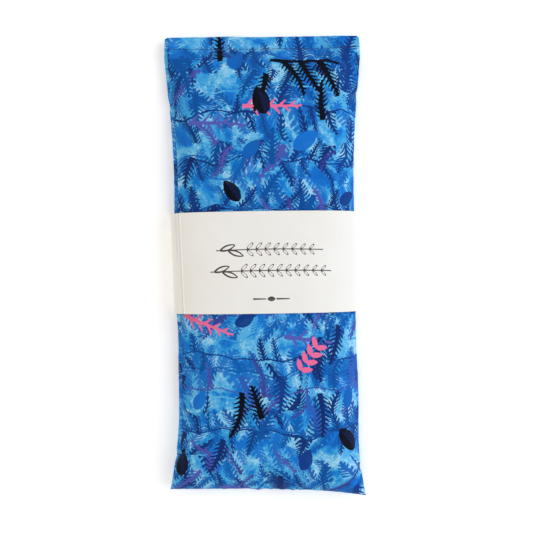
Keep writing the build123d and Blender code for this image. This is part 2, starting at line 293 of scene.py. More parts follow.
def fit_bag(rings, v):
    """Brings the simulated rings to the length, width and depth of the filled bag."""
    count = rings.shape[1]
    half_ring = count // 2
    ring_u = np.abs((np.arange(count) + half_ring) % count - half_ring) / half_ring * 2 - 1
    # the bottom seam runs a little askew, and its right-hand corner droops
    bottom = -(BOTTOM + BOTTOM_SKEW * ring_u + BOTTOM_DROOP * np.clip(ring_u, 0, 1) ** 3) * MM
    top_pull = smooth(v, 40 * MM, v[-1])[:, None]
    bottom_pull = smooth(-v, 55 * MM, -v[0])[:, None]
    y = rings[:, :, 1]
    y = y + top_pull * (STITCH_Y - y[-1]) + bottom_pull * (bottom - y[0])
    x, z = rings[:, :, 0], rings[:, :, 2]
    row_y = y.mean(axis=1)
    plump = plumpness(row_y)
    half = (x.max(axis=1) - x.min(axis=1)) / 2
    middle = (x.max(axis=1) + x.min(axis=1)) / 2
    target = FLAT_WIDTH / 2 - (FLAT_WIDTH / 2 - WAIST_HALF) * plump**1.4
    x = (x - middle[:, None]) * (target / half)[:, None]
    depth = SEAM_LEVEL + 0.6 * MM + (CROWN - SEAM_LEVEL - 0.6 * MM) * plump
    z = z * (depth / z.max(axis=1))[:, None]
    # seed leans out against the sides, so the shoulders are fuller than air alone makes them
    share = np.abs(x) / target[:, None]
    upper = smooth(z, 4 * MM, 8 * MM) * plump[:, None]
    z = z + upper * SHOULDER * np.exp(-(((share - 0.8) / 0.17) ** 2))
    # the band holds up the lower corners of the bag
    corner = lower_corner(BAND_SPAN / MM - PAPER / 2 / MM) * MM
    level = np.interp(np.abs(x) + CORNER_PLAY, corner[:, 0], corner[:, 1]) + CORNER_PLAY
    level = np.where(np.abs(x) > 28 * MM, np.minimum(level, SEAM_LEVEL), 0)
    held = 1 - smooth(np.abs(y), BAND_HALF + 2 * MM, BAND_HALF + 12 * MM)
    z = z + np.maximum(level - z, 0) * (z < SEAM_LEVEL) * held
    # laid down a little to the right below the band
    side = -np.clip(x / target[:, None], -1, 0)
    x = x + LEAN * np.exp(-(((y + 70 * MM) / (24 * MM)) ** 2))
    x = x + LEFT_DRAW * np.exp(-(((y + 38 * MM) / (14 * MM)) ** 2)) * side
    return np.stack([x, y, z], axis=2)


rings, cut_rows = simulate_bag()
rings = fit_bag(rings, cut_rows)

cut_stitch = cut_rows[-1]
body_v = np.concatenate(
    [
        spaced(cut_rows[0], cut_rows[0] + 4 * MM, 0.4 * MM)[:-1],
        spaced(cut_rows[0] + 4 * MM, cut_stitch - 4 * MM, FINE_STEP)[:-1],
        spaced(cut_stitch - 4 * MM, cut_stitch, 0.4 * MM),
    ]
)
rings = curve_rows(rings, (body_v - cut_rows[0]) / (cut_rows[1] - cut_rows[0]))
ring_step = FLAT_WIDTH / (rings.shape[1] // 2)


def panel_grid(which):
    """Points and flat coordinates of one panel, from the bottom seam to the topstitched edge."""
    near_seam = spaced(0, 2 * MM, 0.4 * MM)
    columns = np.concatenate([spaced(0, FLAT_WIDTH, FINE_STEP), near_seam, FLAT_WIDTH - near_seam])
    columns = np.unique(np.round(columns, 6))
    roll = SEAM_ROLL * smooth(body_v, body_v[0], body_v[0] + 22 * MM)
    roll *= 1 - 0.3 * smooth(body_v, cut_stitch - 40 * MM, cut_stitch)
    start = columns[None] + roll[:, None] + (0 if which > 0 else FLAT_WIDTH)
    grid = np.stack([curve_ring(ring[None], turn)[0] for ring, turn in zip(rings, start / ring_step)])

    # the hem: flat folded cloth that runs on from the stitch line
    from_edge = spaced(SETBACK, 0.6 * MM, 0.4 * MM)[1:]
    from_edge = np.concatenate([from_edge, np.array([0.4, 0.22, 0.08, 0]) * MM])
    share = (1 - from_edge / SETBACK)[:, None]
    stitch_row = grid[-1]
    x = stitch_row[:, 0]
    edge_y = HEM_Y - (0.3 + 0.25 * ripple(x, 1.0, 60 * MM) + 5 * x) * MM
    edge_y -= 0.9 * MM * smooth(np.abs(x), 48.6 * MM, 50 * MM)
    edge_z = (4.6 + 0.5 * ripple(x, 2.2, 48 * MM)) * MM
    edge_row = np.stack([x, edge_y, edge_z], axis=1)
    grid = np.concatenate([grid, stitch_row * (1 - share[:, :, None]) + edge_row * share[:, :, None]])
    start = np.concatenate([start, np.repeat(start[-1:], len(from_edge), axis=0)])
    edge = np.concatenate([cut_stitch + SETBACK - body_v, from_edge])[:, None]
    flat_v = CUT_LENGTH / 2 - edge

    # the underside rests on the lap of the band
    lift = LAP_LIFT * (1 - smooth(np.abs(grid[:, :, 1]), BAND_HALF + 0.5 * MM, BAND_HALF + 5 * MM))
    grid[:, :, 2] = lift + grid[:, :, 2] * (1 - lift / CROWN)

    # which way is out: the surface's own direction, or straight up and down in the flat hem
    layer = np.where(np.mod(start, 2 * FLAT_WIDTH) < FLAT_WIDTH, 1.0, -1.0)
    flatness = smooth(edge, SETBACK + 4 * MM, SETBACK)
    out = normals(grid) * (1 - flatness)[:, :, None]
    out[:, :, 2] += layer * flatness
    out /= np.maximum(np.linalg.norm(out, axis=2, keepdims=True), 1e-9)

    # thickness, rounded at the folds of the hem and pinched by its stitches
    fold = np.mod(start, FLAT_WIDTH)
    fold = np.minimum(fold, FLAT_WIDTH - fold)
    to_stitch = np.abs(edge - SETBACK)
    in_hem = smooth(edge, SETBACK + 1 * MM, SETBACK)
    push = np.where(edge > SETBACK, 0.5 + 0.5 * np.exp(-to_stitch / (4 * MM)), 1.0)
    for distance in (edge, fold * in_hem + FLAT_WIDTH * (1 - in_hem)):
        push = push * np.sqrt(1 - (1 - np.clip(distance / HEM_THICK, 0, 1)) ** 2)
    push = push * HEM_THICK * (1 - 0.62 * np.exp(-((to_stitch / (0.5 * MM)) ** 2)))

    # grooves along the seams, and puckers drawn up by the thread
    to_side = np.minimum(columns, FLAT_WIDTH - columns)[None]
    to_bottom = flat_v - flat_v[0]
    to_seam = np.minimum(to_side, to_bottom)
    groove = 0.45 * np.exp(-to_seam / (0.4 * MM))
    across, along = grid[:, :, 0], grid[:, :, 1]
    side = np.sign(across)
    puckers = 0.10 * np.cos(2 * math.pi * across / STITCH_PITCH) * np.exp(-to_stitch / (1.0 * MM))
    puckers = puckers + 0.22 * ripple(across, 4.1, 7 * MM) * np.exp(-to_stitch / (3.5 * MM))
    sides = ripple(along + side * 3 * MM, 0.7 + side, 9 * MM) * np.exp(-to_side / (3.5 * MM))
    ends = ripple(across, 5.3, 8 * MM) * np.exp(-to_bottom / (4 * MM))
    puckers += (0.16 * sides + 0.18 * ends) * smooth(to_seam, 0, 1 * MM)
    puckers *= smooth(edge, 0, 2 * MM) * (1 - 0.5 * in_hem)
    grid = grid + out * (push + (puckers - groove) * MM)[:, :, None]
    grid[:, :, 2] = np.maximum(grid[:, :, 2], 0.02 * MM)
    u = (columns[None] - FLAT_WIDTH / 2) * which
    return grid, np.stack(np.broadcast_arrays(u / MM, flat_v / MM), axis=2)


front_grid, front_flat = panel_grid(1)
back_grid, back_flat = panel_grid(-1)

# the two panels meet exactly along the turned seam
for here, there in ((np.s_[:, 0], np.s_[:, -1]), (np.s_[:, -1], np.s_[:, 0]), (np.s_[0], np.s_[0, ::-1])):
    front_grid[here] = back_grid[there] = (front_grid[here] + back_grid[there]) / 2


# ------------------------------------------------------------------ shader maths


def feed(tree, slots, values):
    """Gives each input slot its value: a Term, another node's output, or a plain number or colour."""
    for slot, value in zip(slots, values):
        if isinstance(value, Term):
            tree.links.new(value.socket, slot)
        elif isinstance(value, bpy.types.NodeSocket):
            tree.links.new(value, slot)
        else:
            slot.default_value = value


class Term:
    """A number in a node tree; sums written with it become maths nodes."""

    def __init__(self, tree, socket):
        self.tree, self.socket = tree, socket

    def math(self, operation, *others):
        node = self.tree.nodes.new("ShaderNodeMath")
        node.operation = operation
        feed(self.tree, node.inputs, (self, *others))
        return Term(self.tree, node.outputs[0])

    def __add__(self, other):
        return self.math("ADD", other)

    __radd__ = __add__

    def __sub__(self, other):
        return self.math("SUBTRACT", other)

    def __rsub__(self, other):
        return (self * -1.0).math("ADD", other)

    def __mul__(self, other):
        return self.math("MULTIPLY", other)

    __rmul__ = __mul__

    def __truediv__(self, other):
        return self.math("DIVIDE", other)

    def __lt__(self, other):
        return self.math("LESS_THAN", other)

    def __gt__(self, other):
        return self.math("GREATER_THAN", other)

    def __abs__(self):
        return self.math("ABSOLUTE")

    def down(self):
        return self.math("FLOOR")

    def part(self):
        return self.math("FRACT")

    def root(self):
        return self.math("MAXIMUM", 0.0).math("SQRT")


def vector_maths(tree, operation, *values):
    """Outputs of a vector maths node."""
    node = tree.nodes.new("ShaderNodeVectorMath")
    node.operation = operation
    feed(tree, node.inputs, values)
    return node.outputs


def split_place(tree, socket):
    node = tree.nodes.new("ShaderNodeSeparateXYZ")
    tree.links.new(socket, node.inputs[0])
    return Term(tree, node.outputs[0]), Term(tree, node.outputs[1])


def place_of(tree, x, y, z=0.0):
    node = tree.nodes.new("ShaderNodeCombineXYZ")
    feed(tree, node.inputs, (x, y, z))
    return node.outputs[0]


def random_of(tree, x, y, z):
    """White noise for a cell, the same all over the cell."""
    cell = place_of(tree, x, y, z)
    node = tree.nodes.new("ShaderNodeTexWhiteNoise")
    tree.links.new(cell, node.inputs["Vector"])
    return node


def noise(tree, place, scale, detail=2.0, roughness=0.5, distortion=0.0):
    """Noise texture node on a place in millimetres."""
    node = tree.nodes.new("ShaderNodeTexNoise")
    node.inputs["Scale"].default_value = scale
    node.inputs["Detail"].default_value = detail
    node.inputs["Roughness"].default_value = roughness
    node.inputs["Distortion"].default_value = distortion
    tree.links.new(place, node.inputs["Vector"])
    return node


def mixed(tree, share, under, over):
    """Colour between under and over; each is a colour socket or a plain colour."""
    node = tree.nodes.new("ShaderNodeMix")
    node.data_type = "RGBA"
    feed(tree, (node.inputs[0], node.inputs[6], node.inputs[7]), (share, under, over))
    return node.outputs[2]


def shifted(tree, place, texture, reach):
    """The place, moved about by a noise texture, up to about half the reach each way."""
    centred = vector_maths(tree, "SUBTRACT", texture.outputs["Color"], (0.5, 0.5, 0.5))
    return vector_maths(tree, "MULTIPLY_ADD", centred[0], (reach, reach, 0.0), place)[0]


def ramp(term, low, high):
    """Term taken from low..high to 0..1 along a smooth step."""
    node = term.tree.nodes.new("ShaderNodeMapRange")
    node.interpolation_type = "SMOOTHSTEP"
    node.inputs["From Min"].default_value = low
    node.inputs["From Max"].default_value = high
    term.tree.links.new(term.socket, node.inputs["Value"])
    return Term(term.tree, node.outputs[0])


def dye(red, green, blue):
    """Linear colour of an ink, from the usual 0 to 255 values."""
    levels = [value / 255 for value in (red, green, blue)]
    return (*(v / 12.92 if v <= 0.04045 else ((v + 0.055) / 1.055) ** 2.4 for v in levels), 1.0)


def empty_group(name, inks, numbers):
    """New node group with its sockets; returns it, its input and output nodes and its numbers."""
    tree = bpy.data.node_groups.new(name, "ShaderNodeTree")
    kinds = [("Under", "Color"), ("Place", "Vector"), *((ink, "Color") for ink in inks)]
    for label, kind in (*kinds, *((label, "Float") for label in numbers)):
        tree.interface.new_socket(label, in_out="INPUT", socket_type="NodeSocket" + kind)
    tree.interface.new_socket("Over", in_out="OUTPUT", socket_type="NodeSocketColor")
    given, result = tree.nodes.new("NodeGroupInput"), tree.nodes.new("NodeGroupOutput")
    return tree, given, result, {label: Term(tree, given.outputs[label]) for label in numbers}


def shape_group(name, numbers, draw):
    """Node group that prints one shape over a colour. draw gives its mask from the distance along
    the shape, the distance off its bowed middle line, and its numbers."""
    tree, given, result, value = empty_group(name, ["Ink"], ["X", "Y", "Angle", "Length", "Bow", *numbers])
    turn = value["Angle"].math("RADIANS")
    cosine, sine = turn.math("COSINE"), turn.math("SINE")

    start = place_of(tree, value["X"], value["Y"])
    ways = place_of(tree, cosine, sine), place_of(tree, sine * -1.0, cosine)
    moved = vector_maths(tree, "SUBTRACT", given.outputs["Place"], start)[0]
    dots = [vector_maths(tree, "DOT_PRODUCT", moved, way) for way in ways]
    along, across = (Term(tree, dot["Value"]) for dot in dots)
    share = along / value["Length"]
    off = across - 4.0 * value["Bow"] * share * (1.0 - share)
    inside = (share > 0.0) * (share < 1.0)
    mask = draw(share, off, value) * inside
    tree.links.new(mixed(tree, mask, given.outputs["Under"], given.outputs["Ink"]), result.inputs[0])
    return tree


def draw_frond(share, off, value):
    """Middle rib with bent, pointed teeth of uneven length on both sides, tapering to a tip."""
    distance = abs(off)
    bent = distance * value["Slant"] * (1.25 - 0.35 * distance / value["Reach"])
    count = (share * value["Length"] - bent) / value["Pitch"] + off.math("SIGN") * 0.2
    # a scrambled sine, because a white noise node in every frond is more than Cycles can hold
    chance = ((count.down() * 12.99 + off.math("SIGN") * 4.7 + value["X"]).math("SINE") * 43.7).part()
    reach = (share * 7.0).math("MINIMUM", 1.0) * ((1.02 - share) * 1.9).root()
    reach = reach.math("MINIMUM", 1.0) * value["Reach"] * (0.78 + 0.34 * chance)
    body = value["Body"] * (1.35 - 0.95 * distance / reach)
    teeth = (abs(count.part() - 0.5) * 2.0 < body) * (distance < reach)
    rib = distance < value["Rib"] * (1.25 - 0.8 * share)
    return teeth.math("MAXIMUM", rib)


def draw_leaf(share, off, value):
    """Leaf or petal, pointed at both ends, one half fainter, with its widest place set by Belly."""
    bent = share.math("POWER", value["Belly"])
    blade = abs(off) < 1.414 * value["Width"] * (bent * (1.0 - bent)).math("POWER", 0.75)
    return blade * (0.97 + 0.03 * (off > 0.0))


def draw_stem(share, off, value):
    """Plain line that thins towards its end."""
    return abs(off) < value["Width"] * (0.62 - 0.25 * share)


def draw_sprig(share, off, value):
    """Line drawing of a sprig: a slim stem with outlined buds in pairs, smaller towards the tip.
    Buds are drawn between First and Last, counted in pitches from its start."""
    distance = abs(off)
    size = value["Reach"] * (1.1 - 0.4 * share)
    count = (share * value["Length"] - distance * 0.8) / value["Pitch"]
    local = count.part() - 0.5
    across = (distance - size * 0.56) / (size * 0.44)
    along = local * value["Pitch"] / (size * 0.27)
    ring = (across * across + along * along).root() - 1.0
    buds = (abs(ring) < value["Line"] * 1.15 / size) * (count > value["First"]) * (count < value["Last"])
    return buds.math("MAXIMUM", distance < value["Line"] * 0.5)


ROW_NUMBERS = ("Row", "Spacing", "Lean", "Tooth", "Girth", "Seed", "Cover", "Strength", "Cut", "Rib")


def fern_rows_group():
    """Node group for rows of long stems, each with toothed leaflets hanging up and down from it."""
    tree, given, result, value = empty_group("fern_rows", ["Ink", "Second ink"], ROW_NUMBERS)
    x, y = split_place(tree, given.outputs["Place"])
    y = y + 7.3 * value["Seed"]
    row = (y / value["Row"]).down()
    rise = y - (row + 0.5) * value["Row"]
    distance = abs(rise)
    side = rise.math("SIGN")
    chance = random_of(tree, row, value["Seed"], 0.0)
    drift = Term(tree, chance.outputs["Value"])
    along = x + drift * 61.0 - distance * value["Lean"] * (0.5 + drift) + side * value["Spacing"] * 0.25
    leaflet = (along / value["Spacing"]).down()
    off = abs(along - (leaflet + 0.5) * value["Spacing"])
    chance = random_of(tree, leaflet, row * 2.0 + side, value["Seed"])
    picks = tree.nodes.new("ShaderNodeSeparateColor")
    tree.links.new(chance.outputs["Color"], picks.inputs[0])
    size, present, choice = (Term(tree, output) for output in picks.outputs)
    share = distance / (value["Row"] * (0.28 + 0.22 * size))
    girth = value["Girth"] * (0.7 + 0.5 * size) * (1.0 - share * share).root()
    tooth = ((distance - off * 0.9) / value["Tooth"]).part()
    teeth = (tooth < value["Cut"]).math("MAXIMUM", off < girth * 0.3)
    blade = (off < girth) * teeth * (present < value["Cover"])
    stem = (distance < value["Rib"]) * (drift < value["Cover"] + 0.15)
    mask = blade.math("MAXIMUM", stem) * value["Strength"]
    ink = mixed(tree, choice, given.outputs["Ink"], given.outputs["Second ink"])
    tree.links.new(mixed(tree, mask, given.outputs["Under"], ink), result.inputs[0])
    return tree


SHAPE_NUMBERS = {  # besides the start, angle, length and bow that every shape has
    "frond": ("Reach", "Pitch", "Slant", "Body", "Rib"),
    "leaf": ("Width", "Belly"),
    "stem": ("Width",),
    "sprig": ("Reach", "Pitch", "Line", "First", "Last"),
}
DRAWS = {"frond": draw_frond, "leaf": draw_leaf, "stem": draw_stem, "sprig": draw_sprig}
SHAPES = {name: shape_group(name, numbers, DRAWS[name]) for name, numbers in SHAPE_NUMBERS.items()}
SHAPES["rows"] = fern_rows_group()


def stamp(tree, shape, under, place, ink, second=None, **numbers):
    """Prints one shape over a colour, and returns the new colour."""
    node = tree.nodes.new("ShaderNodeGroup")
    node.node_tree = SHAPES[shape]
    tree.links.new(under, node.inputs["Under"])
    tree.links.new(place, node.inputs["Place"])
    node.inputs["Ink"].default_value = ink
    if second:
        node.inputs["Second ink"].default_value = second
    for label, number in numbers.items():
        node.inputs[label].default_value = number
    return node.outputs["Over"]


def new_material(name):
    """Empty node material; returns it, its tree and its shader node."""
    material = bpy.data.materials.new(name)
    material.use_nodes = True
    tree = material.node_tree
    shader = tree.nodes["Principled BSDF"]
    return material, tree, shader


def flat_place(tree):
    node = tree.nodes.new("ShaderNodeUVMap")
    node.uv_map = "flat"
    return node.outputs["UV"]


def set_levels(shader, **levels):
    """Plain numbers for the shader; an underscore stands for a space in an input's name."""
    for name, level in levels.items():
        shader.inputs[name.replace("_", " ")].default_value = level


def set_bump(tree, shader, height, depth):
    """Bump from a height in millimetres."""
    node = tree.nodes.new("ShaderNodeBump")
    node.inputs["Distance"].default_value = depth * MM
    node.inputs["Strength"].default_value = 1.0
    tree.links.new(height.socket, node.inputs["Height"])
    tree.links.new(node.outputs[0], shader.inputs["Normal"])


def weave(x, y, pitch):
    """Height of a plain weave, 0 to 1, with threads that pass over and under each other."""
    warp = (x * (math.pi / pitch)).math("SINE")
    weft = (y * (math.pi / pitch)).math("SINE")
    return (warp * weft + 1.0) * 0.5


# ------------------------------------------------------------------ the print

INK = dye(6, 9, 24)
NAVY = dye(16, 44, 108)
ROYAL = dye(10, 82, 160)
BLUE = dye(20, 112, 204)
AZURE = dye(34, 146, 216)
SKY = dye(100, 188, 230)
PALE = dye(176, 216, 238)
VIOLET = dye(48, 56, 138)
MAUVE = dye(86, 92, 180)
PINK = dye(238, 110, 156)
PENCIL = dye(74, 66, 66)
DUSK = dye(14, 24, 62)
DEEP = dye(16, 60, 136)
LAPIS = dye(14, 98, 184)
PERIWINKLE = dye(44, 94, 184)


def printed_cotton(name, turn, shapes):
    """Cotton with layers of fern fronds printed over a mottled blue wash."""
    material, tree, shader = new_material(name)
    flat = flat_place(tree)
    x, y = split_place(tree, flat)
    moved = place_of(tree, x + turn[0], y + turn[1])
    wander = shifted(tree, moved, noise(tree, moved, 0.045, 1.0), 16.0)
    wobble = noise(tree, moved, 0.55, 3.0, 0.6)
    place = shifted(tree, wander, wobble, 1.1)

    # wash: pale patches in azure, with brush marks
    patches = Term(tree, noise(tree, moved, 0.085, 4.0, 0.62, 0.6).outputs["Fac"])
    brush = Term(tree, noise(tree, moved, 0.9, 5.0, 0.7, 0.8).outputs["Fac"])
    colour = mixed(tree, ramp(patches + 0.35 * (brush - 0.5), 0.40, 0.62), AZURE, SKY)
    colour = mixed(tree, ramp(patches * 0.6 + brush * 0.5, 0.56, 0.70), colour, PALE)
    colour = mixed(tree, ramp(patches, 0.47, 0.36), colour, BLUE)

    rows = (  # the ten of ROW_NUMBERS, then the two inks
        (33, 9.0, 0.35, 2.2, 3.9, 1.0, 0.72, 0.85, 0.66, 0.5, BLUE, LAPIS),
        (27, 8.0, -0.5, 2.0, 3.4, 2.0, 0.58, 0.95, 0.60, 0.4, ROYAL, LAPIS),
        (31, 11.0, 0.6, 2.1, 3.2, 3.0, 0.34, 0.95, 0.56, 0.4, AZURE, SKY),
        (36, 9.0, -0.25, 1.9, 3.3, 4.0, 0.46, 1.0, 0.54, 0.45, NAVY, ROYAL),
        (25, 11.0, 0.5, 1.8, 2.7, 5.0, 0.30, 1.0, 0.52, 0.4, NAVY, DEEP),
        (41, 13.0, -0.6, 1.9, 2.4, 6.0, 0.20, 1.0, 0.46, 0.3, VIOLET, MAUVE),
    )
    for *numbers, first, second in rows:
        colour = stamp(tree, "rows", colour, place, first, second, **dict(zip(ROW_NUMBERS, numbers)))

    near = shifted(tree, flat, wobble, 0.7)
    for shape, ink, *numbers in shapes:
        labels = ("X", "Y", "Angle", "Length", "Bow", *SHAPE_NUMBERS[shape])
        colour = stamp(tree, shape, colour, near, ink, **dict(zip(labels, numbers, strict=True)))

    # ink sits unevenly on the threads, and the hollows of the weave get a painted shade
    cloth = weave(x, y, 0.36)
    speck = Term(tree, noise(tree, moved, 2.6, 2.0, 0.7).outputs["Fac"])
    # speck is the ink's own unevenness; the weave term is painted shade in its hollows
    tone = 0.86 + 0.10 * cloth + 0.34 * (speck - 0.36)
    shade = tree.nodes.new("ShaderNodeMix")
    shade.data_type, shade.blend_type = "RGBA", "MULTIPLY"
    shade.inputs[0].default_value = 1.0
    grey = tree.nodes.new("ShaderNodeCombineColor")
    for slot in grey.inputs:
        tree.links.new(tone.socket, slot)
    tree.links.new(colour, shade.inputs[6])
    tree.links.new(grey.outputs[0], shade.inputs[7])
    tree.links.new(shade.outputs[2], shader.inputs["Base Color"])

    seeds = Term(tree, noise(tree, moved, 0.16, 2.0, 0.5).outputs["Fac"])
    set_bump(tree, shader, cloth * 0.10 + seeds * 1.1 + speck * 0.05, 1.0)
    tree.links.new((0.78 + 0.14 * speck).socket, shader.inputs["Roughness"])
    set_levels(shader, Sheen_Weight=0.03, Sheen_Roughness=0.4, Specular_IOR_Level=0.1)
    return material


# The larger shapes are a generic fern print, strewn by chance. Each function below gives the stamps
# of one shape that starts at x, y, in millimetres of the flat cut and degrees:
#   frond: start x, y, angle, length, bow, reach and pitch of the teeth, their slant, body, rib
#   leaf: start x, y, angle, length, bow, width, belly; stem: start x, y, angle, length, bow, width


def fern(chance, ink, x, y, angle=None):
    if angle is None:
        angle = chance.choice((-90, 90)) + chance.uniform(-35, 35)
    length, bow = chance.uniform(15, 24), chance.uniform(-2, 2)
    return [("frond", ink, x, y, angle, length, bow, chance.uniform(3.2, 4.8), 2.2, 0.8, 0.6, 1.2)]


def spray(chance, ink, x, y):
    angle = chance.uniform(-20, 20)
    return [("frond", ink, x, y, angle, chance.uniform(22, 30), 0, 4.6, 5.4, 0.9, 0.3, 0.9)]


def broad_leaf(chance, ink, x, y):
    angle, length = chance.uniform(25, 75), chance.uniform(10, 15)
    return [("leaf", ink, x, y, angle, length, 0, 0.58 * length, 0.9)]


def pod(chance, ink, x, y):
    angle, length = chance.uniform(50, 130), chance.uniform(12, 17)
    shade = ("leaf", DUSK, x, y, angle, 0.85 * length, -0.1 * length, 0.22 * length, 0.9)
    return [("leaf", ink, x, y, angle, length, 0, 0.56 * length, 0.85), shade]


def petals(chance, ink, x, y):
    angle, made = chance.uniform(20, 60), []
    turn = math.radians(angle)
    for step in range(4):
        start = x + 4.5 * step * math.cos(turn), y + 4.5 * step * math.sin(turn)
        made += [("leaf", ink, *start, angle + side * 50, 6, 0, 2.8, 0.8) for side in (-1, 1)]
    return [("stem", LAPIS, x, y, angle, 22, 0, 1.0), *made]


def branch(chance, ink, x, y):
    angle = chance.uniform(-15, 15)
    turn = math.radians(angle)
    made = [("stem", ink, x, y, angle, 34, 0, 1.7)]
    for step in (6, 15, 24):
        start = x + step * math.cos(turn), y + step * math.sin(turn)
        made += fern(chance, ink, *start, angle + chance.choice((-60, 60)))
    return made


PRINT = (  # in the order of printing: shape, ink, how many
    (fern, ROYAL, 9),
    (fern, PERIWINKLE, 4),
    (broad_leaf, LAPIS, 4),
    (broad_leaf, BLUE, 2),
    (fern, DEEP, 10),
    (spray, MAUVE, 3),
    (fern, NAVY, 8),
    (broad_leaf, DEEP, 3),
    (spray, PINK, 2),
    (petals, PINK, 1),
    (fern, INK, 6),
    (pod, INK, 6),
    (branch, INK, 1),
)
CELLS_ACROSS, CELLS_ALONG, CELL = 5, 12, 20.0


def strewn(seed, share=1.0):
    """Stamps for one panel, each shape in a cell of its own in a shuffled grid over the cut."""
    chance = random.Random(seed)
    shapes = [(draw, ink) for draw, ink, count in PRINT for _ in range(math.ceil(share * count))]
    cells = [(column, line) for column in range(CELLS_ACROSS) for line in range(CELLS_ALONG)]
    chance.shuffle(cells)
    stamps = []
    for (draw, ink), (column, line) in zip(shapes, cells[: len(shapes)], strict=True):
        x = (column + chance.uniform(0.1, 0.9) - CELLS_ACROSS / 2) * CELL
        y = (line + chance.uniform(0.1, 0.9) - CELLS_ALONG / 2) * CELL
        stamps += draw(chance, ink, x, y)
    return stamps


front_cotton = printed_cotton("printed_cotton_front", (0.0, 0.0), strewn(56))
back_cotton = printed_cotton("printed_cotton_back", (230.0, 410.0), strewn(12, 0.3))


def plain_cloth(name, tint, pitch, rough):
    """Unprinted woven cotton, placed by its own coordinates."""
    material, tree, shader = new_material(name)
    place = flat_place(tree)
    x, y = split_place(tree, place)
    cloth = weave(x, y, pitch)
    slub = Term(tree, noise(tree, place, 0.7, 3.0, 0.6).outputs["Fac"])
    darker = tuple(value * 0.78 for value in tint[:3]) + (1.0,)
    # darker in the hollows of the weave, a painted shade, and where the slub noise is low, the yarn's own
    # tone
    tree.links.new(mixed(tree, cloth * 0.6 + slub * 0.5, darker, tint), shader.inputs["Base Color"])
    set_bump(tree, shader, cloth * 0.12 + slub * 0.2, 1.0)
    set_levels(shader, Roughness=rough)
    return material


def thread_material(name, tint):
    """Twisted sewing thread, with painted shade in the grooves of its twist."""
    material, tree, shader = new_material(name)
    node = tree.nodes.new("ShaderNodeTexCoord")
    scale = tree.nodes.new("ShaderNodeVectorMath")
    scale.operation = "SCALE"
    scale.inputs["Scale"].default_value = 1000.0
    tree.links.new(node.outputs["Object"], scale.inputs[0])
    place = scale.outputs[0]
    x, y = split_place(tree, place)
    twist = ((x + y * 0.8) * 9.0).math("SINE") * 0.5 + 0.5
    fuzz = Term(tree, noise(tree, place, 3.0, 2.0, 0.6).outputs["Fac"])
    darker = tuple(value * 0.45 for value in tint[:3]) + (1.0,)
    # darker in the grooves of the twist, a painted shade, and with the fuzz, the thread's own tone
    tree.links.new(mixed(tree, twist * 0.7 + fuzz * 0.3, darker, tint), shader.inputs["Base Color"])
    set_bump(tree, shader, twist * 0.05 + fuzz * 0.03, 1.0)
    set_levels(shader, Roughness=0.6, Sheen_Weight=0.2)
    return material


def seed_material(name, light, dark, size, rough):
    """Heaped smooth seeds, or dried buds: rounded cells, each of its own tone, with painted shade in the
    gaps between them.
    """
    material, tree, shader = new_material(name)
    node = tree.nodes.new("ShaderNodeTexCoord")
    stretch = tree.nodes.new("ShaderNodeMapping")
    stretch.inputs["Scale"].default_value = (1000 / size, 1800 / size, 1400 / size)
    tree.links.new(node.outputs["Object"], stretch.inputs["Vector"])
    cells = tree.nodes.new("ShaderNodeTexVoronoi")
    cells.inputs["Scale"].default_value = 1.0
    tree.links.new(stretch.outputs[0], cells.inputs["Vector"])
    edge = Term(tree, cells.outputs["Distance"])
    pick = tree.nodes.new("ShaderNodeSeparateColor")
    tree.links.new(cells.outputs["Color"], pick.inputs[0])
    shade = Term(tree, pick.outputs[0])
    # each cell has its own tone, and darkens towards its rim, a painted shade in the gaps between seeds
    tree.links.new(mixed(tree, shade * 0.8 + edge * 0.3, light, dark), shader.inputs["Base Color"])
    set_bump(tree, shader, 1.0 - edge * edge * 1.6, 0.5)
    set_levels(shader, Roughness=rough)
    return material


liner_cotton = plain_cloth("plain_cotton", dye(226, 220, 206), 0.42, 0.85)
navy_thread = thread_material("sewing_thread", dye(22, 46, 118))
pale_thread = thread_material("liner_thread", dye(224, 218, 204))
flax = seed_material("flax_seed", dye(150, 96, 52), dye(84, 48, 26), 3.2, 0.35)
buds = seed_material("lavender_bud", dye(132, 118, 160), dye(88, 84, 92), 1.4, 0.8)


